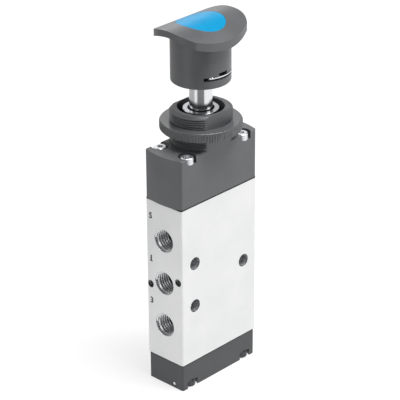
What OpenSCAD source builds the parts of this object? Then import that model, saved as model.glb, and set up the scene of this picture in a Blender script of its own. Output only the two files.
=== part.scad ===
// Push-pull palm valve, 5 ports and 2 positions, for panel mounting.
// X runs along the long plan side: ports 5, 1 and 3 open towards -X, ports 4 and 2 towards +X.
// Y runs through the thickness, Z runs up the spool axis, and the origin is under the end cap.

/* [Valve body] */
// Long plan side of the body
body_l = 47; // [44:0.5:60]
// Thickness of the body
body_w = 21; // [20:0.5:30]
// Height of the body
body_h = 75; // [72:0.5:90]
// Rounding of the body's upright edges
body_edge_r = 0.9; // [0.3:0.1:1.5]
// Distance between neighbouring ports on one side
port_pitch = 20.5; // [19.5:0.1:23]
// Outer diameter of the port thread
port_d = 9.73; // [8:0.01:10.5]
// Depth of the port thread
port_depth = 8.5; // [6:0.5:9]
// Diameter of the passage from a port to the spool
gallery_d = 6; // [4:0.1:6.5]
// Bore in which the spool slides
spool_bore_d = 11; // [10:0.1:12]
// Diameter of the through holes that fix the valve
fixing_d = 5.3; // [3.2:0.1:5.5]
// Distance from the body's centre to each row of fixing holes
fixing_x = 15.4; // [14:0.1:17]
// Outer diameter of the two small threaded holes beside the middle port
side_thread_d = 3; // [2:0.1:3.2]
// Their distance from the port along the thickness
side_thread_y = 8.2; // [7.5:0.1:8.4]
// Their distance above and below the port
side_thread_z = 3.1; // [0:0.1:5]
// Their depth
side_thread_depth = 7; // [4:0.5:9]

/* [End cap and gaskets] */
// Height of the end cap
cap_h = 12.2; // [11:0.1:16]
// How far the end cap's walls stand back from the body's
cap_inset = 0.4; // [0:0.1:0.8]
// Thickness of both gaskets
gasket_t = 0.6; // [0.3:0.1:1]

/* [Actuator housing] */
// Height of the housing without its collar
housing_h = 22.4; // [21:0.1:28]
// How far the narrow ends bulge past the body
end_bulge = 1.4; // [0.4:0.1:2.5]
// Rounding of the housing's upright edges
housing_edge_r = 1.2; // [0.4:0.1:2]
// Chamfer along the top edges of the wide faces
housing_chamfer = 0.5; // [0.2:0.1:0.8]
// Root diameter of the collar's thread
collar_root_d = 25.76; // [25.5:0.01:28]
// Height of the collar
collar_h = 15.2; // [13:0.1:20]
// Bore of the collar
collar_bore_d = 20.3; // [18:0.1:21]
// Width of the chamfer round the top of the collar
collar_chamfer_w = 0.9; // [0.4:0.1:2]
// Height of that chamfer
collar_chamfer_h = 0.8; // [0.4:0.1:2]

/* [Screws] */
// Distance of the screws from the centre along the body
screw_x = 16.9; // [16.2:0.1:17.6]
// Distance of the screws from the centre through the thickness
screw_y = 7.8; // [7.4:0.1:8]
// Diameter of the plain shank
shank_d = 3; // [2.5:0.1:3.6]
// Tapping diameter of the threaded end
thread_core_d = 2.5; // [2:0.1:2.9]
// Length of the threaded end
thread_l = 8; // [5:0.5:10]
// Diameter of the screw heads
head_d = 5.5; // [5:0.1:5.8]
// Height of the screw heads
head_h = 3; // [2:0.1:3.5]
// Depth of each head below the face it is sunk in
head_sink = 0.3; // [0.1:0.1:1]
// Diameter of the recesses in the top of the housing
top_recess_d = 7.8; // [6.2:0.1:8]
// Diameter of the recesses under the end cap
low_recess_d = 7.6; // [6.2:0.1:8]

/* [Panel nut] */
// Outer diameter of the panel nut
nut_d = 35.5; // [32:0.1:38]
// Thickness of the panel nut
nut_h = 4.2; // [3:0.1:6]
// Height of the nut's lower face above the housing
nut_lift = 5.4; // [0.4:0.1:8]
// Chamfer round both edges of the nut
nut_chamfer = 0.6; // [0.3:0.1:1]
// Number of knurl ridges round the nut
knurl_count = 96; // [60:2:120]
// Depth of the knurl
knurl_depth = 0.35; // [0.2:0.05:0.5]

/* [Plunger] */
// Diameter of the plunger rod
rod_d = 10; // [9:0.1:10.6]
// Travel of the plunger between its two positions
stroke = 6; // [5:0.1:6.5]
// Outer diameter of the guide bush
bush_d = 15.6; // [15:0.1:16]
// How far the bush's top lies below the top of the collar
bush_sink = 0.6; // [0.2:0.1:2]
// Diameter of the detent ring's wire
detent_wire_d = 1.2; // [1:0.1:1.4]
// Depth of the two detent grooves in the rod
detent_depth = 0.5; // [0.3:0.05:0.6]
// Diameter of the pin that couples rod and spool
pin_d = 2; // [1.5:0.1:2.4]
// Diameter of the spool's lands
land_d = 10.8; // [9.8:0.1:10.9]
// Diameter of the spool between its lands
neck_d = 6; // [5:0.1:6.6]
// Section diameter of the spool's seals
seal_wire_d = 1.7; // [1.4:0.05:1.8]

/* [Knob] */
// Diameter of the knob's stem
knob_d = 25.8; // [24:0.1:30]
// Gap between collar and knob with the plunger pulled out
knob_gap = 12.3; // [8:0.1:20]
// Height of the knob from its lower edge to its crest
knob_h = 26.6; // [24:0.1:34]
// Length of the bent cap in plan, along the body's long side
knob_cap_l = 38.8; // [34:0.2:44]
// Width of the bent cap in plan, through the thickness
knob_cap_w = 31.4; // [28:0.2:34]
// Rounding of the cap's corners in plan
knob_cap_r = 13; // [8:0.5:13.5]
// Radius to which the cap's long sides are bowed in plan
cap_side_r = 34; // [28:1:80]
// Radius to which the cap is bent
cap_bend_r = 25.4; // [22:0.2:60]
// Thickness of the bent cap
cap_t = 2.9; // [2:0.1:4]
// Diameter of the coloured inlay in plan
inlay_d = 21; // [16:0.5:24]
// Thickness of the inlay
inlay_t = 1.0; // [0.6:0.1:1.5]
// Height of the clip slot above the knob's lower edge
slot_lift = 3.6; // [2:0.1:6]
// Height of the clip slot
slot_h = 1.6; // [1.3:0.1:2.4]
// Thickness of the knob's spring clip
clip_t = 0.6; // [0.4:0.1:1.2]
// Depth to which the rod enters the knob
knob_grip = 18; // [12:0.5:19]

/* [Fits] */
// Radial clearance of sliding and turning fits
run_fit = 0.05; // [0.02:0.01:0.09]
// Clearance of parts that only lie in a seat
seat_fit = 0.1; // [0.05:0.01:0.2]

/* [Hidden] */
$fn = 96;
eps = 0.01;
over = 1;

// Levels from the underside of the end cap upwards
body_z = cap_h + gasket_t;
body_top = body_z + body_h;
body_mid = body_z + body_h / 2;
housing_z = body_top + gasket_t;
housing_top = housing_z + housing_h;
collar_top = housing_top + collar_h;
bush_top = collar_top - bush_sink;
knob_z = collar_top + knob_gap;
knob_top = knob_z + knob_h;
rod_top = knob_z + knob_grip;

// Openings in the body: chamfers, drill point and the ring channel that feeds the spool
port_chamfer = 0.6;
fixing_chamfer = 0.3;
side_thread_chamfer = 0.25;
drill_point = 2;
channel_d = spool_bore_d + 3;
channel_w = port_pitch * 0.29;
near_ports = [port_pitch, 0, -port_pitch];
far_ports = [port_pitch / 2, -port_pitch / 2];

// End cap details
core_wall = 3;
core_depth = 4.5;
core_rib = 1.6;
bumper_d = spool_bore_d - 2;
bumper_seat = 4;
vent_d = 1.5;
vent_l = 1.5;
vent_mouth_d = 2.2;
vent_mouth_l = 0.4;
vent_y = -4.7;
vent_z = 1.9;
vent_sink = 0.15;
spool_room = 0.3;

// Screw recesses
hole_gap = 0.2;
tap_spare = 1.5;
recess_depth = head_h + head_sink;
tap_depth = thread_l + tap_spare;
socket_share = 0.5;
socket_floor = 0.45;
head_chamfer = 0.3;

// Bush, its flange and the stack under it
rod_r = rod_d / 2;
bush_r = bush_d / 2;
flange_r = bush_r + 0.8;
flange_h = 3;
ring_t = 1;
bush_lift = 9.2;
collar_floor = 3;
bush_z = housing_z + bush_lift;
flange_top = bush_z + flange_h;
bush_seat_top = housing_top + collar_floor;
ring_groove_depth = 0.7;
retaining_gap = 0.5;
stop_ring_r = rod_r + 1.6;
ring_gap_w = 4;
stop_groove = 0.7;
stop_mouth = 0.7;
stop_z = bush_z - run_fit - ring_t;
bumper_r = bush_r + 0.2;
bumper_top = stop_z - stroke - run_fit;
bumper_bore_r = rod_r + 0.2;
rod_tail = 3;
rod_z = stop_z - rod_tail;
rod_chamfer = 0.8;
pin_lift = 1.6;
pin_z = rod_z + pin_lift;
o_ring_w = 1.6;
bush_o_w = 1.2;
bush_o_lift = 7;
bush_o_z = flange_top + bush_o_lift;
bush_o_groove_r = bush_r - bush_o_w;
film = 0.02;
wiper_w = 0.8;
wiper_h = 1.6;
wiper_lip_w = 0.4;
wiper_lip_h = 0.25;
rod_o_drop = 3;
rod_o_z = bush_top - wiper_h - rod_o_drop;
bush_chamfer = 0.2;

// Running clearance of the nut's thread on the collar's
nut_fit = 0.08;

// Detent: the wire ring lies in the bush and springs from one rod groove to the next
wire_r = detent_wire_d / 2;
detent_lift = 3.4;
detent_z = flange_top + detent_lift;
detent_ring_r = rod_r - detent_depth + wire_r;
detent_room = detent_depth + 0.4;
detent_gap_angle = 40;

// Spool: seal places are counted from the body's middle with the plunger pulled out
land_l = 3.4;
seal_r = seal_wire_d / 2;
seal_ring_r = spool_bore_d / 2 - run_fit - seal_r;
seal_groove_r = seal_ring_r - seal_r - run_fit;
outer_seal = port_pitch * 0.75;
low_seal_gap = 4.5;
middle_seal_gap = 2.1;
top_seal_gap = 10.1;
seal_places = [-outer_seal - stroke - low_seal_gap, -outer_seal, stroke / 2 - middle_seal_gap,
    stroke / 2 + middle_seal_gap, outer_seal + stroke, outer_seal + stroke + top_seal_gap];
spool_z = body_mid + seal_places[0] - land_l / 2;
land_top = body_mid + seal_places[5] + land_l / 2;
spigot_l = 8;
spigot_room = 0.3;
spigot_r = neck_d / 2;

// Knob and clip
bend_z = knob_top - cap_bend_r;
slot_z = knob_z + slot_lift;
slot_w = knob_d * 0.66;
clip_gap = 0.2;
clip_side_gap = 1.7;
clip_w = slot_w - 2 * clip_side_gap;
clip_z = slot_z + slot_h - clip_t - run_fit;
clip_proud = 0.25;
clip_mouth = 0.9;
clip_neck = 0.7;
notch_w = 4.8;
notch_h = 1.4;
notch_depth = 2.6;
rod_room = 0.3;
foot_r = 0.6;
under_recess = 2;
boss_wall = 3;
rim_wall = 2.4;

body_tone = [0.90, 0.90, 0.89];
moulded_tone = [0.28, 0.29, 0.30];
seal_tone = [0.10, 0.10, 0.10];
steel_tone = [0.75, 0.76, 0.78];
spool_tone = [0.80, 0.80, 0.82];
inlay_tone = [0.05, 0.62, 0.88];

// Rounded rectangle from squares and true circles
module plate(length, width, radius) {
    square([length - 2 * radius, width], center = true);
    square([length, width - 2 * radius], center = true);
    for (sx = [-1, 1], sy = [-1, 1])
        translate([sx * (length / 2 - radius), sy * (width / 2 - radius)]) circle(r = radius);
}

// Copies what it is given to the four screw places
module at_screws() {
    for (sx = [-1, 1], sy = [-1, 1]) translate([sx * screw_x, sy * screw_y, 0]) children();
}

// Flat ring between two radii
module ring(outer, inner, height) {
    difference() {
        cylinder(r = outer, h = height);
        translate([0, 0, -over]) cylinder(r = inner, h = height + 2 * over);
    }
}

// Round-section ring
module round_ring(ring_r, wire) {
    rotate_extrude() translate([ring_r, 0]) circle(r = wire, $fn = 48);
}

// Threaded port opening towards +X, with its mouth at the origin
module port_cut(reach) {
    thread_r = port_d / 2;
    rotate([0, -90, 0]) {
        translate([0, 0, -over]) cylinder(r = thread_r, h = port_depth + over);
        translate([0, 0, -eps])
            cylinder(r1 = thread_r + port_chamfer, r2 = thread_r, h = port_chamfer + eps);
        translate([0, 0, port_depth - eps])
            cylinder(r1 = thread_r, r2 = gallery_d / 2, h = drill_point);
        cylinder(d = gallery_d, h = reach);
    }
}

module side_thread_cut() {
    rotate([0, 90, 0]) {
        translate([0, 0, -over]) cylinder(d = side_thread_d, h = side_thread_depth + over);
        translate([0, 0, -eps]) cylinder(d1 = side_thread_d + 2 * side_thread_chamfer, d2 = side_thread_d,
            h = side_thread_chamfer + eps);
    }
}

module fixing_cut(x, z) {
    translate([x, 0, z]) rotate([90, 0, 0]) {
        cylinder(d = fixing_d, h = body_w + 2 * over, center = true);
        for (end = [0, 1]) mirror([0, 0, end]) translate([0, 0, body_w / 2 - fixing_chamfer])
            cylinder(d1 = fixing_d, d2 = fixing_d + 2 * (fixing_chamfer + eps), h = fixing_chamfer + eps);
    }
}

module valve_body() {
    color(body_tone) difference() {
        translate([0, 0, body_z]) linear_extrude(body_h) plate(body_l, body_w, body_edge_r);
        translate([0, 0, body_z - over]) cylinder(d = spool_bore_d, h = body_h + 2 * over);
        for (z = concat(near_ports, far_ports)) translate([0, 0, body_mid + z - channel_w / 2])
            cylinder(d = channel_d, h = channel_w);
        for (z = near_ports) translate([-body_l / 2, 0, body_mid + z]) mirror([1, 0, 0])
            port_cut(body_l / 2);
        for (z = far_ports) translate([body_l / 2, 0, body_mid + z]) port_cut(body_l / 2);
        for (side = [-1, 1])
            translate([-body_l / 2, side * side_thread_y, body_mid - side * side_thread_z])
                side_thread_cut();
        for (side = [-1, 1]) fixing_cut(-fixing_x, body_mid + side * port_pitch / 2);
        fixing_cut(fixing_x, body_mid);
        at_screws() {
            translate([0, 0, body_z - over]) cylinder(d = thread_core_d, h = tap_depth + over);
            translate([0, 0, body_top - tap_depth]) cylinder(d = thread_core_d, h = tap_depth + over);
        }
    }
}

module end_cap() {
    length = body_l - 2 * cap_inset;
    width = body_w - 2 * cap_inset;
    core_w = 2 * screw_x - low_recess_d - core_wall;
    color(moulded_tone) difference() {
        linear_extrude(cap_h) plate(length, width, body_edge_r);
        at_screws() {
            translate([0, 0, -over]) cylinder(d = low_recess_d, h = recess_depth + over);
            cylinder(d = shank_d + 2 * hole_gap, h = cap_h + over);
        }
        translate([0, 0, cap_h - bumper_seat])
            cylinder(d = bumper_d + 2 * run_fit, h = bumper_seat + over);
        for (side = [-1, 1]) translate([side * (core_w + core_rib) / 4, 0, (core_depth - over) / 2])
            cube([(core_w - core_rib) / 2, width - 2 * core_wall, core_depth + over], center = true);
        translate([-length / 2 - over, vent_y, vent_z]) rotate([0, 90, 0]) {
            cylinder(d = vent_d, h = vent_l + over, $fn = 48);
            cylinder(d = vent_mouth_d, h = vent_mouth_l + over, $fn = 48);
        }
    }
}

// Flat gasket that stands back from the body's outline, with clearance for the screws
module gasket(inset, hole_r) {
    linear_extrude(gasket_t) difference() {
        plate(body_l - 2 * inset, body_w - 2 * inset, body_edge_r);
        circle(r = hole_r);
        for (sx = [-1, 1], sy = [-1, 1]) translate([sx * screw_x, sy * screw_y])
            circle(r = shank_d / 2 + hole_gap);
    }
}

module end_cap_gasket() {
    color(seal_tone) translate([0, 0, cap_h]) gasket(cap_inset, spool_bore_d / 2);
}

// Screw with its head upwards, head seat at the origin
module cap_screw(grip) {
    socket_d = head_d * socket_share;
    difference() {
        union() {
            cylinder(d = head_d, h = head_h);
            translate([0, 0, -grip]) cylinder(d = shank_d, h = grip + eps);
            translate([0, 0, -grip - thread_l])
                cylinder(d = thread_core_d - 2 * run_fit, h = thread_l + eps);
        }
        translate([0, 0, head_h * socket_floor]) cylinder(d = socket_d, h = head_h, $fn = 6);
        translate([0, 0, head_h]) rotate_extrude()
            polygon([[head_d / 2 - head_chamfer, 0], [head_d / 2 - head_chamfer, over],
                [head_d / 2 + over, over], [head_d / 2 + over, -head_chamfer],
                [head_d / 2, -head_chamfer]]);
    }
}

module end_cap_screws() {
    color(steel_tone) at_screws() translate([0, 0, recess_depth]) mirror([0, 0, 1])
        cap_screw(body_z - recess_depth);
}

module vent_plug() {
    length = body_l - 2 * cap_inset;
    color(steel_tone) translate([-length / 2 + vent_sink, vent_y, vent_z]) rotate([0, 90, 0])
        cylinder(d = vent_d - 2 * run_fit, h = vent_l - vent_sink, $fn = 48);
}

module spool_bumper() {
    top = spool_z - stroke - spool_room;
    color(seal_tone) translate([0, 0, cap_h - bumper_seat])
        cylinder(d = bumper_d, h = top - cap_h + bumper_seat);
}

module housing_gasket() {
    color(seal_tone) translate([0, 0, body_top]) gasket(0, bumper_r + seat_fit);
}

// Plan of the housing: straight wide faces, and narrow ends that bulge in an arc
module housing_plan() {
    chord = body_w / 2 - housing_edge_r;
    bulge_r = (chord * chord + end_bulge * end_bulge) / (2 * end_bulge);
    plate(body_l, body_w, housing_edge_r);
    for (side = [-1, 1]) intersection() {
        translate([side * (body_l / 2 + end_bulge - bulge_r), 0]) circle(r = bulge_r, $fn = 180);
        translate([side * body_l / 2, 0]) square([2 * end_bulge + over, 2 * chord], center = true);
    }
}

// Collar with the flats that continue the housing's wide faces
module collar_solid() {
    outer = collar_root_d / 2;
    intersection() {
        translate([0, 0, housing_top - over]) rotate_extrude() polygon([[0, 0], [outer, 0],
            [outer, collar_h + over - collar_chamfer_h],
            [outer - collar_chamfer_w, collar_h + over], [0, collar_h + over]]);
        translate([0, 0, housing_top]) cube([2 * outer, body_w, 4 * collar_h], center = true);
    }
}

module actuator_housing() {
    width = body_w / 2;
    color(moulded_tone) difference() {
        union() {
            intersection() {
                translate([0, 0, housing_z]) linear_extrude(housing_h) housing_plan();
                rotate([90, 0, 90]) linear_extrude(2 * body_l, center = true)
                    polygon([[-width, housing_z - over], [width, housing_z - over],
                        [width, housing_top - housing_chamfer], [width - housing_chamfer, housing_top],
                        [-width + housing_chamfer, housing_top],
                        [-width, housing_top - housing_chamfer]]);
            }
            collar_solid();
        }
        at_screws() {
            translate([0, 0, housing_top - recess_depth])
                cylinder(d = top_recess_d, h = recess_depth + over);
            translate([0, 0, housing_z - over])
                cylinder(d = shank_d + 2 * hole_gap, h = housing_h + over);
        }
        translate([0, 0, bush_seat_top]) cylinder(d = collar_bore_d, h = collar_h + over);
        translate([0, 0, housing_z - over])
            cylinder(r = bush_r + run_fit, h = bush_seat_top - housing_z + 2 * over);
        translate([0, 0, housing_z - over])
            cylinder(r = flange_r + seat_fit, h = flange_top - housing_z + over);
        translate([0, 0, bush_z - seat_fit - ring_t])
            cylinder(r = flange_r + ring_groove_depth, h = ring_t + seat_fit);
    }
}

module housing_screws() {
    color(steel_tone) at_screws() translate([0, 0, housing_top - recess_depth])
        cap_screw(housing_top - recess_depth - body_top);
}

module guide_bush() {
    room_r = detent_ring_r + wire_r + detent_room;
    color(steel_tone) difference() {
        union() {
            translate([0, 0, bush_z]) cylinder(r = bush_r, h = bush_top - bush_z - bush_chamfer);
            translate([0, 0, bush_top - bush_chamfer - eps])
                cylinder(r1 = bush_r, r2 = bush_r - bush_chamfer, h = bush_chamfer + eps);
            translate([0, 0, bush_z]) cylinder(r = flange_r, h = flange_h);
        }
        translate([0, 0, bush_z - over])
            cylinder(r = rod_r + run_fit, h = bush_top - bush_z + 2 * over);
        translate([0, 0, detent_z - wire_r - run_fit])
            cylinder(r = room_r, h = detent_wire_d + 2 * run_fit);
        translate([0, 0, bush_top - wiper_h]) cylinder(r = rod_r + wiper_w, h = wiper_h + over);
        translate([0, 0, rod_o_z - o_ring_w / 2 - run_fit])
            cylinder(r = rod_r + run_fit + o_ring_w + seat_fit, h = o_ring_w + 2 * run_fit);
        translate([0, 0, bush_o_z - bush_o_w / 2 - run_fit])
            ring(bush_r + over, bush_o_groove_r, bush_o_w + 2 * run_fit);
    }
}

module bush_retaining_ring() {
    inner = stop_ring_r + retaining_gap;
    outer = flange_r + ring_groove_depth - run_fit;
    color(steel_tone) translate([0, 0, bush_z - seat_fit / 2 - ring_t]) difference() {
        ring(outer, inner, ring_t);
        translate([inner - over, -ring_gap_w / 2, -over]) cube([outer, ring_gap_w, ring_t + 2 * over]);
    }
}

module bush_o_ring() {
    color(seal_tone) translate([0, 0, bush_o_z])
        round_ring(bush_r + run_fit - film - bush_o_w / 2, bush_o_w / 2);
}

module rod_o_ring() {
    color(seal_tone) translate([0, 0, rod_o_z])
        round_ring(rod_r + run_fit + o_ring_w / 2, o_ring_w / 2);
}

module rod_wiper() {
    inner = rod_r + run_fit;
    outer = rod_r + wiper_w - run_fit;
    color(seal_tone) translate([0, 0, bush_top - wiper_h]) rotate_extrude()
        polygon([[inner, 0], [outer, 0], [outer, wiper_h - wiper_lip_h - run_fit],
            [inner + wiper_lip_w, wiper_h - wiper_lip_h - run_fit], [inner, wiper_h - run_fit]]);
}

module detent_ring() {
    color(steel_tone) translate([0, 0, detent_z]) difference() {
        round_ring(detent_ring_r + film, wire_r);
        translate([0, 0, -over]) linear_extrude(2 * over) polygon([[0, 0],
            2 * rod_r * [cos(detent_gap_angle / 2), sin(detent_gap_angle / 2)],
            2 * rod_r * [cos(detent_gap_angle / 2), -sin(detent_gap_angle / 2)]]);
    }
}

module bumper_ring() {
    color(seal_tone) translate([0, 0, body_top]) ring(bumper_r, bumper_bore_r, bumper_top - body_top);
}

// Outline of the knurl: ridge and valley in turn
function knurl_outline(radius) = [for (i = [0 : 2 * knurl_count - 1])
    (radius - (i % 2) * knurl_depth) * [cos(i * 180 / knurl_count), sin(i * 180 / knurl_count)]];

module panel_nut() {
    outer = nut_d / 2;
    bore = collar_root_d / 2 + nut_fit;
    color(moulded_tone) translate([0, 0, housing_top + nut_lift]) difference() {
        intersection() {
            linear_extrude(nut_h) polygon(knurl_outline(outer));
            rotate_extrude() polygon([[0, 0], [outer - nut_chamfer, 0], [outer + eps, nut_chamfer + eps],
                [outer + eps, nut_h - nut_chamfer - eps], [outer - nut_chamfer, nut_h], [0, nut_h]]);
        }
        translate([0, 0, -over]) cylinder(r = bore, h = nut_h + 2 * over);
    }
}

module plunger_rod() {
    color(steel_tone) difference() {
        union() {
            translate([0, 0, rod_z]) cylinder(r = rod_r, h = rod_top - rod_z - rod_chamfer);
            translate([0, 0, rod_top - rod_chamfer - eps])
                cylinder(r1 = rod_r, r2 = rod_r - rod_chamfer, h = rod_chamfer + eps);
        }
        translate([0, 0, rod_z - over]) cylinder(r = spigot_r + run_fit, h = spigot_l + over + spigot_room);
        translate([0, 0, pin_z]) rotate([90, 0, 0])
            cylinder(d = pin_d + 2 * run_fit, h = 2 * rod_d, center = true, $fn = 48);
        for (place = [0, stroke]) translate([0, 0, detent_z + place])
            round_ring(detent_ring_r, wire_r + run_fit);
        translate([0, 0, stop_z - run_fit]) ring(rod_d, rod_r - stop_groove, ring_t + 2 * run_fit);
        translate([0, 0, clip_z - run_fit]) ring(rod_d, rod_r - clip_neck, clip_t + 2 * run_fit);
    }
}

module stop_ring() {
    inner = rod_r - stop_groove + run_fit;
    color(steel_tone) translate([0, 0, stop_z]) difference() {
        ring(stop_ring_r, inner, ring_t);
        translate([0, -rod_r * stop_mouth, -over]) cube([rod_d, 2 * rod_r * stop_mouth, ring_t + 2 * over]);
    }
}

module coupling_pin() {
    length = 2 * (sqrt(rod_r * rod_r - pin_d * pin_d / 4) - hole_gap);
    color(steel_tone) translate([0, 0, pin_z]) rotate([90, 0, 0])
        cylinder(d = pin_d, h = length, center = true, $fn = 48);
}

module spool() {
    color(spool_tone) difference() {
        union() {
            translate([0, 0, spool_z]) cylinder(d = neck_d, h = rod_z + spigot_l - spool_z);
            for (place = seal_places) translate([0, 0, body_mid + place - land_l / 2])
                cylinder(d = land_d, h = land_l);
        }
        for (place = seal_places) translate([0, 0, body_mid + place - seal_r - run_fit])
            ring(land_d, seal_groove_r, seal_wire_d + 2 * run_fit);
        translate([0, 0, pin_z]) rotate([90, 0, 0])
            cylinder(d = pin_d + 2 * run_fit, h = rod_d, center = true, $fn = 48);
    }
}

module spool_seals() {
    color(seal_tone) for (place = seal_places) translate([0, 0, body_mid + place])
        round_ring(seal_ring_r, seal_r);
}

// Horizontal cylinder along X to which the cap is bent
module bend_cylinder(radius) {
    translate([0, 0, bend_z]) rotate([0, 90, 0])
        cylinder(r = radius, h = 2 * knob_cap_l, center = true, $fn = 180);
}

// Plan of the palm cap: a rounded plate with bowed long sides
module cap_plan() {
    side_place = knob_cap_w / 2 - cap_side_r;
    intersection() {
        plate(knob_cap_l, knob_cap_w, knob_cap_r);
        translate([0, side_place]) circle(r = cap_side_r, $fn = 180);
        translate([0, -side_place]) circle(r = cap_side_r, $fn = 180);
    }
}

// Palm cap bent over the X direction, on a straight stem
module knob() {
    stem_r = knob_d / 2;
    color(moulded_tone) difference() {
        union() {
            difference() {
                intersection() {
                    translate([0, 0, knob_z]) linear_extrude(knob_h + over) cap_plan();
                    bend_cylinder(cap_bend_r);
                }
                bend_cylinder(cap_bend_r - cap_t);
            }
            intersection() {
                translate([0, 0, knob_z]) rotate_extrude() union() {
                    square([stem_r - foot_r, knob_h]);
                    translate([0, foot_r]) square([stem_r, knob_h - foot_r]);
                    translate([stem_r - foot_r, foot_r]) circle(r = foot_r, $fn = 48);
                }
                bend_cylinder(cap_bend_r - cap_t / 2);
            }
        }
        translate([0, 0, knob_z - over]) cylinder(r = rod_r + run_fit, h = knob_grip + over + rod_room);
        translate([0, 0, knob_z - over]) ring(stem_r - rim_wall, rod_r + boss_wall, under_recess + over);
        translate([-slot_w / 2, -stem_r - over, slot_z]) cube([slot_w, stem_r + over + rod_r, slot_h]);
        translate([-notch_w / 2, -stem_r - over, slot_z])
            cube([notch_w, over + notch_depth, slot_h + notch_h]);
        intersection() {
            translate([0, 0, bend_z]) cylinder(d = inlay_d + 2 * run_fit, h = cap_bend_r + over);
            difference() {
                bend_cylinder(cap_bend_r + over);
                bend_cylinder(cap_bend_r - inlay_t);
            }
        }
    }
}

module knob_inlay() {
    color(inlay_tone) intersection() {
        translate([0, 0, bend_z]) cylinder(d = inlay_d, h = cap_bend_r + over);
        difference() {
            bend_cylinder(cap_bend_r);
            bend_cylinder(cap_bend_r - inlay_t + film);
        }
    }
}

// Fork that snaps into the rod's groove
module knob_clip() {
    outer = knob_d / 2 + clip_proud;
    neck = rod_r - clip_neck + run_fit;
    color(steel_tone) translate([0, 0, clip_z]) linear_extrude(clip_t) difference() {
        intersection() {
            circle(r = outer);
            translate([-clip_w / 2, -outer]) square([clip_w, outer + rod_r - clip_gap]);
        }
        circle(r = neck);
        translate([-neck * clip_mouth, 0]) square([2 * neck * clip_mouth, rod_d]);
    }
}

valve_body();
end_cap();
end_cap_gasket();
end_cap_screws();
vent_plug();
spool_bumper();
housing_gasket();
actuator_housing();
housing_screws();
guide_bush();
bush_retaining_ring();
bush_o_ring();
rod_o_ring();
rod_wiper();
detent_ring();
bumper_ring();
panel_nut();
plunger_rod();
stop_ring();
coupling_pin();
spool();
spool_seals();
knob();
knob_inlay();
knob_clip();
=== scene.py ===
import math

import bmesh
import bpy
from mathutils import Matrix, Quaternion, Vector


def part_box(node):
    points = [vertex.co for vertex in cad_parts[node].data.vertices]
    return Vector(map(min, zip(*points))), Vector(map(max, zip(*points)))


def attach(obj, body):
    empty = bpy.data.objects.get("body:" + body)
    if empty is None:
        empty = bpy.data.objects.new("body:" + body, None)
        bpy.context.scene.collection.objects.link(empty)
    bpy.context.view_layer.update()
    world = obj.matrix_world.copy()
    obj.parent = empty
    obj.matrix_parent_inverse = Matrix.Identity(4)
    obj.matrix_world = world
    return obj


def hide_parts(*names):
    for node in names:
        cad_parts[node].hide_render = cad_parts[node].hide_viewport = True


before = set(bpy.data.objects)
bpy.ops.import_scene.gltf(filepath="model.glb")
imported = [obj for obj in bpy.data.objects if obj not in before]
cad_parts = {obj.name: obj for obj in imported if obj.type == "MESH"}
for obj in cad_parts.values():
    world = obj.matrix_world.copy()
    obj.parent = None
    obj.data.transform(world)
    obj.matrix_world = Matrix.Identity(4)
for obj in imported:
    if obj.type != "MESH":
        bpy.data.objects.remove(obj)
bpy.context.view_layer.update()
mm = 0.001
print("solids loaded")


def linearColour(code):
    # sRGB hex to the linear values that the shaders take
    shares = [int(code[i:i + 2], 16) / 255 for i in (0, 2, 4)]
    return [s / 12.92 if s <= 0.04045 else ((s + 0.055) / 1.055) ** 2.4 for s in shares] + [1.0]


def addNode(tree, kind, settings=None, links=None):
    # A node with its settings, by socket or property name, and what feeds its sockets
    node = tree.nodes.new(kind)
    for name, value in (settings or {}).items():
        if name in node.inputs:
            node.inputs[name].default_value = value
        else:
            setattr(node, name, value)
    for name, socket in (links or {}).items():
        tree.links.new(socket, node.inputs[name])
    return node


# Camera: long lens at the photograph's angle, looking down on the valve's front left edge
cameraView = {
    "towardsCamera": (-0.6531, -0.6176, 0.4384),
    "target": (24.63, 24.15, 64.94),
    "distance": 899.8,
    "lens": 180,
    "sensor": 36,
    "roll": -0.35,
}
cameraData = bpy.data.cameras.new("camera")
camera = bpy.data.objects.new("camera", cameraData)
bpy.context.scene.collection.objects.link(camera)
towardsCamera = Vector(cameraView["towardsCamera"]).normalized()
camera.location = (Vector(cameraView["target"]) + towardsCamera * cameraView["distance"]) * mm
rollTurn = Quaternion((0, 0, 1), math.radians(cameraView["roll"]))
camera.rotation_euler = (towardsCamera.to_track_quat("Z", "Y") @ rollTurn).to_euler()
cameraData.lens = cameraView["lens"]
cameraData.sensor_width = cameraView["sensor"]
bpy.context.scene.camera = camera
bpy.context.scene.view_settings.view_transform = "Standard"
print("camera placed")


# Materials

def startFinish(name):
    # A new material with its shader, and the piece's own coordinates in metres
    made = bpy.data.materials.new(name)
    made.use_nodes = True
    tree = made.node_tree
    place = addNode(tree, "ShaderNodeTexCoord").outputs["Object"]
    return made, tree, tree.nodes["Principled BSDF"], place


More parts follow.
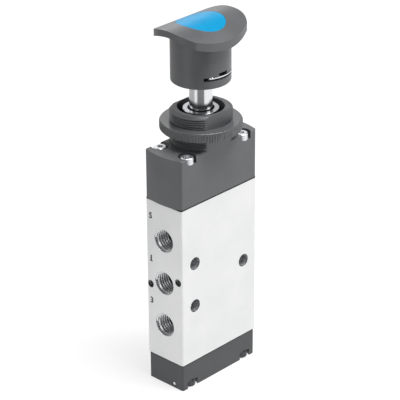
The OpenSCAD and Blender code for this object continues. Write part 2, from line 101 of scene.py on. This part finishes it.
def anodisedAluminium():
    # Blasted and natural anodised: nearly white, matt, with a grain too fine to see singly
    made, tree, shader, place = startFinish("anodisedAluminium")
    shader.inputs["Metallic"].default_value = 0.35
    shader.inputs["Roughness"].default_value = 0.46
    grainSize = 0.35 * mm  # real blast grain is 0.1 mm, drawn coarser so that it shows
    cloudSize = 14 * mm  # slow change of tone from the anodising bath
    grain = addNode(tree, "ShaderNodeTexNoise", {"Scale": 1 / grainSize, "Detail": 2.0},
                    {"Vector": place})
    cloud = addNode(tree, "ShaderNodeTexNoise", {"Scale": 1 / cloudSize, "Detail": 3.0},
                    {"Vector": place})
    tint = addNode(tree, "ShaderNodeValToRGB", links={"Fac": cloud.outputs["Fac"]})
    tint.color_ramp.elements[0].position = 0.3
    tint.color_ramp.elements[0].color = linearColour("DADBDB")
    tint.color_ramp.elements[1].position = 0.7
    tint.color_ramp.elements[1].color = linearColour("E1E2E1")
    bump = addNode(tree, "ShaderNodeBump", {"Strength": 0.12, "Distance": 0.02 * mm},
                   {"Height": grain.outputs["Fac"]})
    tree.links.new(tint.outputs["Color"], shader.inputs["Base Color"])
    tree.links.new(bump.outputs["Normal"], shader.inputs["Normal"])
    return made


def tappedAluminium(name, light, dark, metallic):
    # Drilled and tapped holes: bare cut metal with a patchy film of cutting oil, glossy; the darker
    # colours given for the plain holes are painted shade inside them
    made, tree, shader, place = startFinish(name)
    shader.inputs["Metallic"].default_value = metallic
    filmSize = 1.5 * mm
    film = addNode(tree, "ShaderNodeTexNoise", {"Scale": 1 / filmSize, "Detail": 3.0},
                   {"Vector": place})
    tint = addNode(tree, "ShaderNodeValToRGB", links={"Fac": film.outputs["Fac"]})
    tint.color_ramp.elements[0].color = linearColour(dark)
    tint.color_ramp.elements[1].color = linearColour(light)
    gloss = addNode(tree, "ShaderNodeMapRange", {"To Min": 0.22, "To Max": 0.32},
                    {"Value": film.outputs["Fac"]})
    tree.links.new(tint.outputs["Color"], shader.inputs["Base Color"])
    tree.links.new(gloss.outputs["Result"], shader.inputs["Roughness"])
    return made


def mouldedNylon(name, light, dark, roughness):
    # Glass-filled nylon from a spark-eroded mould: dark grey and evenly grained, dull or with
    # a sheen as the mould was finished and as hands have worn it
    made, tree, shader, place = startFinish(name)
    shader.inputs["IOR"].default_value = 1.53
    grainSize = 0.4 * mm  # spark grain is 0.15 mm, drawn coarser so that it shows
    cloudSize = 9 * mm  # slow change of tone where the glass fibres lie denser
    spread = 0.07
    grain = addNode(tree, "ShaderNodeTexNoise",
                    {"Scale": 1 / grainSize, "Detail": 3.0, "Roughness": 0.6},
                    {"Vector": place})
    cloud = addNode(tree, "ShaderNodeTexNoise", {"Scale": 1 / cloudSize, "Detail": 4.0},
                    {"Vector": place})
    tint = addNode(tree, "ShaderNodeValToRGB", links={"Fac": cloud.outputs["Fac"]})
    tint.color_ramp.elements[0].position = 0.3
    tint.color_ramp.elements[0].color = linearColour(dark)
    tint.color_ramp.elements[1].position = 0.7
    tint.color_ramp.elements[1].color = linearColour(light)
    gloss = addNode(tree, "ShaderNodeMapRange",
                    {"To Min": roughness - spread, "To Max": roughness + spread},
                    {"Value": cloud.outputs["Fac"]})
    bump = addNode(tree, "ShaderNodeBump", {"Strength": 0.2, "Distance": 0.03 * mm},
                   {"Height": grain.outputs["Fac"]})
    tree.links.new(tint.outputs["Color"], shader.inputs["Base Color"])
    tree.links.new(gloss.outputs["Result"], shader.inputs["Roughness"])
    tree.links.new(bump.outputs["Normal"], shader.inputs["Normal"])
    return made


def nitrileRubber():
    # Moulded nitrile: black and dull, a little bloom makes it cloudy
    made, tree, shader, place = startFinish("nitrileRubber")
    bloomSize = 3 * mm
    bloom = addNode(tree, "ShaderNodeTexNoise", {"Scale": 1 / bloomSize, "Detail": 3.0},
                    {"Vector": place})
    tint = addNode(tree, "ShaderNodeValToRGB", links={"Fac": bloom.outputs["Fac"]})
    tint.color_ramp.elements[0].color = linearColour("0F0F10")
    tint.color_ramp.elements[1].color = linearColour("1C1C1E")
    dullness = addNode(tree, "ShaderNodeMapRange", {"To Min": 0.6, "To Max": 0.8},
                       {"Value": bloom.outputs["Fac"]})
    tree.links.new(tint.outputs["Color"], shader.inputs["Base Color"])
    tree.links.new(dullness.outputs["Result"], shader.inputs["Roughness"])
    return made


def platedSteel(name, light, dark, roughness):
    # Plated or blackened screws, spring wire and turned parts: metal with a thin uneven skin
    made, tree, shader, place = startFinish(name)
    shader.inputs["Metallic"].default_value = 1.0
    skinSize = 1.2 * mm
    spread = 0.06
    skin = addNode(tree, "ShaderNodeTexNoise", {"Scale": 1 / skinSize, "Detail": 3.0},
                   {"Vector": place})
    tint = addNode(tree, "ShaderNodeValToRGB", links={"Fac": skin.outputs["Fac"]})
    tint.color_ramp.elements[0].color = linearColour(dark)
    tint.color_ramp.elements[1].color = linearColour(light)
    gloss = addNode(tree, "ShaderNodeMapRange",
                    {"To Min": roughness - spread, "To Max": roughness + spread},
                    {"Value": skin.outputs["Fac"]})
    tree.links.new(tint.outputs["Color"], shader.inputs["Base Color"])
    tree.links.new(gloss.outputs["Result"], shader.inputs["Roughness"])
    return made


def groundSteel():
    # Centreless ground and polished rod: bright, with fine lines round the axis
    made, tree, shader, place = startFinish("groundSteel")
    shader.inputs["Metallic"].default_value = 1.0
    shader.inputs["Base Color"].default_value = linearColour("DDDEE0")
    lineGap = 0.25 * mm  # grinding lines lie about 0.02 mm apart, drawn wider so that they show
    along = 1 / lineGap
    around = 0.02 / lineGap  # far slower round the rod, so that the noise turns into lines
    stretched = addNode(tree, "ShaderNodeMapping", {"Scale": (around, around, along)},
                        {"Vector": place})
    lines = addNode(tree, "ShaderNodeTexNoise", {"Scale": 1.0, "Detail": 2.0},
                    {"Vector": stretched.outputs["Vector"]})
    gloss = addNode(tree, "ShaderNodeMapRange", {"To Min": 0.14, "To Max": 0.24},
                    {"Value": lines.outputs["Fac"]})
    bump = addNode(tree, "ShaderNodeBump", {"Strength": 0.05, "Distance": 0.01 * mm},
                   {"Height": lines.outputs["Fac"]})
    tree.links.new(gloss.outputs["Result"], shader.inputs["Roughness"])
    tree.links.new(bump.outputs["Normal"], shader.inputs["Normal"])
    return made


def turnedSteel():
    # Turned bush: satin, with faint rings from the lathe tool
    made, tree, shader, place = startFinish("turnedSteel")
    shader.inputs["Metallic"].default_value = 1.0
    shader.inputs["Base Color"].default_value = linearColour("98999C")
    feed = 0.3 * mm  # tool feed of 0.1 mm per turn, drawn wider so that it shows
    scaleOneGap = 0.314  # metres between the wave texture's rings at a scale of 1
    rings = addNode(tree, "ShaderNodeTexWave",
                    {"wave_type": "RINGS", "rings_direction": "Z",
                     "Scale": scaleOneGap / feed, "Distortion": 0.4},
                    {"Vector": place})
    gloss = addNode(tree, "ShaderNodeMapRange", {"To Min": 0.2, "To Max": 0.28},
                    {"Value": rings.outputs["Fac"]})
    bump = addNode(tree, "ShaderNodeBump", {"Strength": 0.08, "Distance": 0.01 * mm},
                   {"Height": rings.outputs["Fac"]})
    tree.links.new(gloss.outputs["Result"], shader.inputs["Roughness"])
    tree.links.new(bump.outputs["Normal"], shader.inputs["Normal"])
    return made


def azurePlastic():
    # Insert moulded in coloured plastic: satin, slightly mottled
    made, tree, shader, place = startFinish("azurePlastic")
    shader.inputs["Roughness"].default_value = 0.36
    shader.inputs["Specular IOR Level"].default_value = 0.15
    cloudSize = 5 * mm
    grainSize = 0.4 * mm  # as on the nylon round it
    cloud = addNode(tree, "ShaderNodeTexNoise", {"Scale": 1 / cloudSize, "Detail": 3.0},
                    {"Vector": place})
    grain = addNode(tree, "ShaderNodeTexNoise", {"Scale": 1 / grainSize, "Detail": 2.0},
                    {"Vector": place})
    tint = addNode(tree, "ShaderNodeValToRGB", links={"Fac": cloud.outputs["Fac"]})
    tint.color_ramp.elements[0].position = 0.3
    tint.color_ramp.elements[0].color = linearColour("037DAA")
    tint.color_ramp.elements[1].position = 0.7
    tint.color_ramp.elements[1].color = linearColour("0985B2")
    bump = addNode(tree, "ShaderNodeBump", {"Strength": 0.1, "Distance": 0.02 * mm},
                   {"Height": grain.outputs["Fac"]})
    tree.links.new(tint.outputs["Color"], shader.inputs["Base Color"])
    tree.links.new(bump.outputs["Normal"], shader.inputs["Normal"])
    return made


def printedInk():
    # Pad-printed digits: thin black ink, a little broken up by the metal's grain
    made, tree, shader, place = startFinish("printedInk")
    shader.inputs["Roughness"].default_value = 0.55
    breakSize = 0.3 * mm
    breaks = addNode(tree, "ShaderNodeTexNoise", {"Scale": 1 / breakSize, "Detail": 2.0},
                     {"Vector": place})
    tint = addNode(tree, "ShaderNodeValToRGB", links={"Fac": breaks.outputs["Fac"]})
    tint.color_ramp.elements[0].color = linearColour("0E0E10")
    tint.color_ramp.elements[1].color = linearColour("242527")
    tree.links.new(tint.outputs["Color"], shader.inputs["Base Color"])
    return made


anodised = anodisedAluminium()
tapped = tappedAluminium("tappedAluminium", "DCDDDF", "C8C9CB", 0.74)
# The plain holes' metal is far darker than the ports': painted shade inside the holes
holePaintedShade = tappedAluminium("holeAluminiumPaintedShade", "6C6D6F", "585A5C", 0.85)
nylon = mouldedNylon("mouldedNylon", "58595B", "525355", 0.5)
nutNylon = mouldedNylon("polishedNylon", "525355", "4C4D4F", 0.3)
capNylon = mouldedNylon("coarseNylon", "454648", "3F4042", 0.56)
knobNylon = mouldedNylon("wornNylon", "535456", "4D4E50", 0.38)
rubber = nitrileRubber()
zincPlated = platedSteel("zincPlatedSteel", "E8E9EB", "D2D4D7", 0.42)
blackened = platedSteel("blackenedSteel", "595A5D", "414245", 0.42)
springSteel = platedSteel("springSteel", "E2E3E5", "C6C8CB", 0.24)
turnedAluminium = platedSteel("turnedAluminium", "D8D8DA", "C4C5C8", 0.32)
ground = groundSteel()
turned = turnedSteel()
azure = azurePlastic()
ink = printedInk()
print("materials made")


# Pieces, in millimetres until they are made

sameSpot = 0.01  # mm within which two places count as one
tiny = 0.0005 * mm  # edges shorter than this are merged away


def mergedCopy(node):
    # The solid's own triangles, joined up and with flat areas made whole
    bm = bmesh.new()
    bm.from_mesh(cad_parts[node].data)
    bmesh.ops.remove_doubles(bm, verts=bm.verts, dist=0.001 * mm)
    bmesh.ops.dissolve_limit(bm, angle_limit=math.radians(0.3), verts=bm.verts, edges=bm.edges)
    return bm


def breakEdges(bm, width, segments=2, sharp=35, keep=None):
    # Small rounding on the sharp edges, or on those of them that keep picks
    edges = [e for e in bm.edges
             if len(e.link_faces) == 2 and e.calc_face_angle(0) > math.radians(sharp)]
    if keep:
        edges = [e for e in edges if keep(e)]
    bmesh.ops.bevel(bm, geom=edges, offset=width * mm, offset_type="OFFSET", affect="EDGES",
                    segments=segments, profile=0.5, material=-1, clamp_overlap=True)


def addPiece(bm, name, body, material, node=None, smooth=35):
    # The finished mesh as a piece that rides on its body and may stand for a node
    mesh = bpy.data.meshes.new(name)
    bm.to_mesh(mesh)
    bm.free()
    mesh.shade_smooth()
    mesh.set_sharp_from_angle(angle=math.radians(smooth))
    mesh.materials.append(material)
    piece = bpy.data.objects.new(name, mesh)
    bpy.context.scene.collection.objects.link(piece)
    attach(piece, body)
    if node:
        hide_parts(node)
        shading = piece.modifiers.new("evenShading", "WEIGHTED_NORMAL")
        shading.keep_sharp = True  # big flat faces stay flat beside their rounded edges
    return piece


def helixRidge(bm, root, crest, pitch, base, tip, length, steps):
    # One thread ridge round Z, from 0 up to length, as a closed solid with capped ends
    turns = (length - base) / pitch
    count = math.ceil(turns * steps)
    start = [(root, -base / 2), (crest, -tip / 2), (crest, tip / 2), (root, base / 2)]
    face = bm.faces.new([bm.verts.new((r * mm, 0, (z + base / 2) * mm)) for r, z in start])
    bmesh.ops.spin(bm, geom=[face], cent=(0, 0, 0), axis=(0, 0, 1),
                   dvec=(0, 0, turns * pitch * mm / count), angle=math.tau * turns,
                   steps=count, use_merge=False, use_duplicate=False)
    bmesh.ops.recalc_face_normals(bm, faces=bm.faces)


def radiusLimits(bm, limit):
    # Moves each vertex in or out to the radius that limit gives for its radius and height
    for v in bm.verts:
        radius = math.hypot(v.co.x, v.co.y) / mm
        wanted = limit(radius, v.co.z / mm)
        v.co.x *= wanted / radius
        v.co.y *= wanted / radius


# Valve body: rounded rims on its end faces, bare metal in its ports, and in its other holes metal
# darkened with painted shade
valveBodyLook = {"edge": 0.25, "rimZone": 0.3, "outerBand": 1, "tallest": 30}
# Radius of the tapped wall inside and at the mouth, the thread's profile, and the depths where it
# starts and ends: the real pitch of 0.907 mm is drawn coarser, so that it shows
portThread = {"major": 4.865, "mouth": 5.3, "rim": 0.15, "chamfer": 0.6, "depth": 8.5, "below": 4,
              "ridge": 0.6, "pitch": 1.25, "base": 1.1, "tip": 0.4, "first": 0.15, "last": 8.4,
              "steps": 64}
portPitch = 20.5
bodyBox = [Vector(corner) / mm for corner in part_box("valve_body")]
bodyMiddle = (bodyBox[0].z + bodyBox[1].z) / 2
faceLevels = (bodyBox[0].z, bodyBox[1].z)
halfLength = bodyBox[1].x
halfThickness = bodyBox[1].y
# Side of the body, digit and height over the middle for each port
ports = ((-1, "5", portPitch), (-1, "1", 0), (-1, "3", -portPitch),
         (1, "4", portPitch / 2), (1, "2", -portPitch / 2))


def onEndFaceRim(edge):
    # Outer edges of the body's two end faces
    level = any(all(abs(v.co.z / mm - z) < sameSpot for v in edge.verts) for z in faceLevels)
    middle = (edge.verts[0].co + edge.verts[1].co) / 2 / mm
    return level and (abs(middle.x) > halfLength - valveBodyLook["outerBand"]
                      or abs(middle.y) > halfThickness - valveBodyLook["outerBand"])


def insideHole(face):
    # All but the outer faces, their upright roundings and the broken rims
    middle = face.calc_center_median() / mm
    levels = [v.co.z / mm for v in face.verts]
    outer = (abs(abs(middle.x) - halfLength) < sameSpot
             or abs(abs(middle.y) - halfThickness) < sameSpot
             or any(abs(middle.z - z) < valveBodyLook["rimZone"] for z in faceLevels))
    return not outer and max(levels) - min(levels) < valveBodyLook["tallest"]


def openMouths(bm):
    # The tapped wall opens slightly towards the face, so that thread shows right up to the rim
    onWall = 2 * sameSpot
    for side, digit, level in ports:
        for v in bm.verts:
            depth = halfLength - side * v.co.x / mm
            radius = math.hypot(v.co.y / mm, v.co.z / mm - bodyMiddle - level)
            if (abs(depth - portThread["chamfer"]) < onWall
                    and abs(radius - portThread["major"]) < onWall):
                grown = portThread["mouth"] / radius
                axis = (bodyMiddle + level) * mm
                v.co.x = side * (halfLength - portThread["rim"]) * mm
                v.co.y *= grown
                v.co.z = (v.co.z - axis) * grown + axis


bm = mergedCopy("valve_body")
breakEdges(bm, valveBodyLook["edge"], keep=onEndFaceRim)
openMouths(bm)
portFloor = halfLength - portThread["depth"] - portThread["below"]
anodisedSkin, portMetal, holeMetalPaintedShade = 0, 1, 2  # in the order of the piece's materials
for face in bm.faces:
    middle = face.calc_center_median() / mm
    inPort = abs(middle.y) < portThread["mouth"] and abs(middle.x) > portFloor
    # Faces inside the holes other than the ports take the metal darkened with painted shade
    bareMetalOrPaintedShade = portMetal if inPort else holeMetalPaintedShade
    face.material_index = bareMetalOrPaintedShade if insideHole(face) else anodisedSkin
piece = addPiece(bm, "valveBody", "housing", anodised, "valve_body")
piece.data.materials.append(tapped)
piece.data.materials.append(holePaintedShade)
print("valve body done")


# Threads in the ports and in the two small holes, whose 0.5 mm pitch is drawn coarser too
sideThread = {"major": 1.5, "mouth": 1.5, "rim": 0.2, "depth": 7, "ridge": 0.27, "pitch": 0.7,
              "base": 0.6, "tip": 0.2, "first": 0.25, "last": 6.9, "steps": 32}
sidePlace = {"across": 8.2, "below": 3.1}
fadeIn = 2.5  # height that the first crest gains with depth


def cutThread(bm, thread, mouth, outward):
    # Ridge inside a bore whose mouth lies at mouth and opens along outward
    ridge = bmesh.new()
    crest = thread["major"] - thread["ridge"]
    helixRidge(ridge, thread["major"], crest, thread["pitch"], thread["base"],
               thread["tip"], thread["last"] - thread["first"], thread["steps"])

    def alongWall(radius, height):
        # The wall narrows from the mouth to the full depth, and the first crest fades in
        depth = height + thread["first"]
        share = max(0, 1 - (depth - thread["rim"]) / (thread["depth"] - thread["rim"]))
        wall = thread["major"] + (thread["mouth"] - thread["major"]) * share + sameSpot
        if radius > (crest + thread["major"]) / 2:
            return wall
        return wall - min(thread["ridge"], max(0, depth - thread["rim"]) * fadeIn)

    radiusLimits(ridge, alongWall)
    bmesh.ops.dissolve_degenerate(ridge, edges=ridge.edges, dist=tiny)
    inward = -Vector(outward)
    turn = inward.to_track_quat("Z", "Y").to_matrix().to_4x4()
    place = Matrix.Translation((Vector(mouth) + inward * thread["first"]) * mm)
    bmesh.ops.transform(ridge, matrix=place @ turn, verts=ridge.verts)
    mesh = bpy.data.meshes.new("ridge")
    ridge.to_mesh(mesh)
    ridge.free()
    bm.from_mesh(mesh)
    bpy.data.meshes.remove(mesh)


bm = bmesh.new()
for side, digit, level in ports:
    cutThread(bm, portThread, (side * halfLength, 0, bodyMiddle + level), (side, 0, 0))
addPiece(bm, "portThreads", "housing", tapped)
bm = bmesh.new()
for side in (-1, 1):
    mouth = (-halfLength, side * sidePlace["across"], bodyMiddle - side * sidePlace["below"])
    cutThread(bm, sideThread, mouth, (-1, 0, 0))
# The small holes' threads take the metal darkened with painted shade
addPiece(bm, "sideThreads", "housing", holePaintedShade)
print("port threads done")


# Digits beside the ports, with a bar under the 1
digitLook = {"height": 2.7, "fontShare": 0.7, "proud": 0.02, "across": 7.7, "above": 9.5,
             "bolder": 0.13, "oneBolder": 0.2, "foot": (1.6, 0.5), "footProud": 2.2}


def addFoot(mesh):
    # The bar under a one, as on stencil figures
    width, height = digitLook["foot"]
    low = min(v.co.y for v in mesh.vertices) / mm
    middle = (min(v.co.x for v in mesh.vertices) + max(v.co.x for v in mesh.vertices)) / 2 / mm
    foot = bmesh.new()
    foot.from_mesh(mesh)
    place = Matrix.Translation((middle, low + height / 2, 0))
    size = Matrix.Diagonal((width, height, digitLook["footProud"] * digitLook["proud"], 1))
    bmesh.ops.create_cube(foot, size=1, matrix=Matrix.Scale(mm, 4) @ place @ size)
    foot.to_mesh(mesh)
    foot.free()


def printDigit(bm, digit, end, across, level):
    text = bpy.data.curves.new("digit", "FONT")
    text.body = digit
    text.align_x = "CENTER"
    text.align_y = "CENTER"
    text.size = digitLook["height"] * mm / digitLook["fontShare"]
    text.extrude = digitLook["proud"] * mm
    text.offset = digitLook["oneBolder" if digit == "1" else "bolder"] * mm
    holder = bpy.data.objects.new("digit", text)
    mesh = bpy.data.meshes.new_from_object(holder)
    if digit == "1":
        addFoot(mesh)
    # Reads from outside the narrow face: its own X runs towards the viewer's right
    turn = Matrix(((0, 0, end), (end, 0, 0), (0, 1, 0))).to_4x4()
    place = Matrix.Translation(Vector((end * halfLength, end * across, level)) * mm)
    mesh.transform(place @ turn)
    bm.from_mesh(mesh)
    bpy.data.objects.remove(holder)
    bpy.data.curves.remove(text)
    bpy.data.meshes.remove(mesh)


bm = bmesh.new()
for side, digit, level in ports:
    printDigit(bm, digit, side, -digitLook["across"], bodyMiddle + level + digitLook["above"])
bmesh.ops.remove_doubles(bm, verts=bm.verts, dist=tiny)
addPiece(bm, "portDigits", "housing", ink)
print("digits done")


# End cap, gaskets, screws and vent
endCapLook = {"edge": 0.2}
screwLook = {"edge": 0.12}
bm = mergedCopy("end_cap")
breakEdges(bm, endCapLook["edge"])
addPiece(bm, "endCap", "housing", capNylon, "end_cap")
for node, name in (("end_cap_gasket", "endCapGasket"), ("housing_gasket", "housingGasket")):
    addPiece(mergedCopy(node), name, "housing", rubber, node)
for node, name, finish, slot in (("end_cap_screws", "endCapScrews", blackened, "black_screws"),
                                 ("housing_screws", "housingScrews", zincPlated, "zinc_screws")):
    bm = mergedCopy(node)
    breakEdges(bm, screwLook["edge"])
    addPiece(bm, name, "housing", finish, node)
addPiece(mergedCopy("vent_plug"), "ventPlug", "housing", zincPlated, "vent_plug")
print("end cap and screws done")


# Actuator housing
housingLook = {"edge": 0.2}
bm = mergedCopy("actuator_housing")
breakEdges(bm, housingLook["edge"])
addPiece(bm, "actuatorHousing", "housing", nylon, "actuator_housing")


# Thread on the housing's collar
collarThread = {"root": 12.86, "crest": 13.5, "pitch": 1.0, "base": 0.9, "tip": 0.125,
                "height": 15.2, "foot": 0.1, "runOut": 0.2, "sunk": 0.02, "crestFall": 1.3,
                "chamferWidth": 0.9, "chamferHeight": 0.8, "steps": 96}
collarBox = [Vector(corner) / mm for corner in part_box("actuator_housing")]
collarTop = collarBox[1].z
housingTop = collarTop - collarThread["height"]
threadFoot = housingTop + collarThread["foot"]
threadEnd = collarTop - collarThread["runOut"]


def underCollarChamfer(radius, height):
    # Crests fade out over the chamfer, and the roots sink into it
    into = max(0, threadFoot + height - (collarTop - collarThread["chamferHeight"]))
    cutBack = into * collarThread["chamferWidth"] / collarThread["chamferHeight"]
    root = collarThread["root"] - cutBack - collarThread["sunk"]
    if radius < (collarThread["root"] + collarThread["crest"]) / 2:
        return root
    return max(root, collarThread["crest"] - collarThread["crestFall"] * cutBack)


bm = bmesh.new()
helixRidge(bm, collarThread["root"], collarThread["crest"], collarThread["pitch"],
           collarThread["base"], collarThread["tip"], threadEnd - threadFoot, collarThread["steps"])
radiusLimits(bm, underCollarChamfer)
bmesh.ops.translate(bm, vec=(0, 0, threadFoot * mm), verts=bm.verts)
for side in (-1, 1):
    # The two flats lie in the planes of the wide faces
    cut = bmesh.ops.bisect_plane(bm, geom=bm.verts[:] + bm.edges[:] + bm.faces[:],
                                 dist=0.0001 * mm, plane_co=(0, side * halfThickness * mm, 0),
                                 plane_no=(0, side, 0), clear_outer=True)
    rim = [e for e in cut["geom_cut"] if isinstance(e, bmesh.types.BMEdge)]
    bmesh.ops.holes_fill(bm, edges=rim, sides=0)
bmesh.ops.dissolve_degenerate(bm, edges=bm.edges, dist=tiny)
bmesh.ops.recalc_face_normals(bm, faces=bm.faces)
addPiece(bm, "collarThread", "housing", nylon)
print("actuator housing done")


# Panel nut: its knurl is shaded soft, as moulded
panelNutLook = {"edge": 0.12, "segments": 1, "sharp": 40, "smooth": 65}


def levelEdge(edge):
    return abs(edge.verts[0].co.z - edge.verts[1].co.z) < 0.001 * mm


bm = mergedCopy("panel_nut")
breakEdges(bm, panelNutLook["edge"], panelNutLook["segments"], panelNutLook["sharp"], levelEdge)
addPiece(bm, "panelNut", "nut", nutNylon, "panel_nut", panelNutLook["smooth"])
print("panel nut done")


# Bush, wiper and rod
guideBushLook = {"edge": 0.1}
plungerRodLook = {"edge": 0.05}
bm = mergedCopy("guide_bush")
breakEdges(bm, guideBushLook["edge"])
addPiece(bm, "guideBush", "housing", turned, "guide_bush")
addPiece(mergedCopy("rod_wiper"), "rodWiper", "housing", rubber, "rod_wiper")
bm = mergedCopy("plunger_rod")
breakEdges(bm, plungerRodLook["edge"])
addPiece(bm, "plungerRod", "plunger", ground, "plunger_rod")
print("bush and rod done")


# Knob, inlay and clip
palmKnobLook = {"edge": 0.3, "segments": 3}
knobInlayLook = {"edge": 0.25}
knobClipLook = {"edge": 0.08}
bm = mergedCopy("knob")
breakEdges(bm, palmKnobLook["edge"], palmKnobLook["segments"])
addPiece(bm, "palmKnob", "knob", knobNylon, "knob")
bm = mergedCopy("knob_inlay")
breakEdges(bm, knobInlayLook["edge"])
addPiece(bm, "knobInlay", "knob", azure, "knob_inlay")
bm = mergedCopy("knob_clip")
breakEdges(bm, knobClipLook["edge"])
addPiece(bm, "knobClip", "knob", springSteel, "knob_clip")
print("knob done")


# Inner pieces keep their solids and get their own finish
innerFinishes = {
    "spool_bumper": rubber, "bush_o_ring": rubber, "rod_o_ring": rubber, "bumper_ring": rubber,
    "spool_seals": rubber, "bush_retaining_ring": springSteel, "detent_ring": springSteel,
    "stop_ring": springSteel, "coupling_pin": springSteel, "spool": turnedAluminium,
}
for node, finish in innerFinishes.items():
    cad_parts[node].data.materials.clear()
    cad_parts[node].data.materials.append(finish)
print("inner pieces done")


# Floor and light: a back-lit table, soft boxes, and grey cards that only reflections show
def plainFinish(name, tone, roughness):
    made = bpy.data.materials.new(name)
    made.use_nodes = True
    shader = made.node_tree.nodes["Principled BSDF"]
    shader.inputs["Base Color"].default_value = linearColour(tone)
    shader.inputs["Roughness"].default_value = roughness
    return made, shader


def addStage(name, corners, finish):
    # A flat sheet of the studio, which isn't part of the valve
    bm = bmesh.new()
    bm.faces.new([bm.verts.new(corner) for corner in corners])
    mesh = bpy.data.meshes.new(name)
    bm.to_mesh(mesh)
    bm.free()
    mesh.materials.append(finish)
    thing = bpy.data.objects.new(name, mesh)
    bpy.context.scene.collection.objects.link(thing)
    return thing


floorLook = {"half": 4.0, "tone": "898989", "roughness": 0.9, "glow": 0.7}  # metres
paleFloor, floorShader = plainFinish("paleFloor", floorLook["tone"], floorLook["roughness"])
floorShader.inputs["Emission Color"].default_value = (1.0, 1.0, 1.0, 1.0)
floorShader.inputs["Emission Strength"].default_value = floorLook["glow"]
half = floorLook["half"]
addStage("floor", [(-half, -half, 0), (half, -half, 0), (half, half, 0), (-half, half, 0)],
         paleFloor)

# Felt cards that only reflections show, as painted dark and grey reflections on the metal, in
# degrees round from the camera and metres out from the valve
feltCards = {
    "feltFront": {"from": -35, "to": 33, "near": 0.22, "far": 0.9, "height": 0.002,
                  "tone": "646465", "roughness": 1.0},
    "feltLeft": {"from": -154, "to": -64, "near": 0.22, "far": 0.9, "height": 0.002,
                 "tone": "9F9F9F", "roughness": 1.0},
}
towardsAngle = math.atan2(towardsCamera.y, towardsCamera.x)
for name, card in feltCards.items():
    corners = []
    for reach, angle in ((card["near"], card["from"]), (card["far"], card["from"]),
                         (card["far"], card["to"]), (card["near"], card["to"])):
        turnTo = towardsAngle + math.radians(angle)
        corners.append((reach * math.cos(turnTo), reach * math.sin(turnTo), card["height"]))
    felt = addStage(name, corners, plainFinish(name, card["tone"], card["roughness"])[0])
    felt.visible_camera = False
    felt.visible_diffuse = False
    felt.visible_shadow = False
    felt.visible_transmission = False

# Soft boxes, in degrees round and above the floor, metres and watts
studioLights = {
    "topBox": {"angle": 290, "rise": 72, "distance": 1.4, "size": 0.7, "power": 26},
    "rightBox": {"angle": 305, "rise": 30, "distance": 1.0, "size": 0.5, "power": 2.6},
    "leftBox": {"angle": 115, "rise": 30, "distance": 1.0, "size": 0.5, "power": 2.0},
    "portBox": {"angle": 184, "rise": 13, "distance": 1.0, "size": 0.35, "power": 0.8},
    "backBox": {"angle": 60, "rise": 26, "distance": 1.2, "size": 0.7, "power": 2.9},
}
aim = Vector((0, 0, 0.08))
for name, light in studioLights.items():
    data = bpy.data.lights.new(name, "AREA")
    data.energy = light["power"]
    data.size = light["size"]
    lamp = bpy.data.objects.new(name, data)
    around, rise = math.radians(light["angle"]), math.radians(light["rise"])
    away = Vector((math.cos(around) * math.cos(rise), math.sin(around) * math.cos(rise),
                   math.sin(rise)))
    lamp.location = aim + away * light["distance"]
    lamp.rotation_euler = away.to_track_quat("Z", "Y").to_euler()
    lamp.visible_camera = False
    bpy.context.scene.collection.objects.link(lamp)

studioGlow = 0.24
studio = bpy.data.worlds.new("studio")
studio.use_nodes = True
backdrop = studio.node_tree.nodes["Background"]
backdrop.inputs["Color"].default_value = (1.0, 1.0, 1.0, 1.0)
backdrop.inputs["Strength"].default_value = studioGlow
bpy.context.scene.world = studio
print("light set")
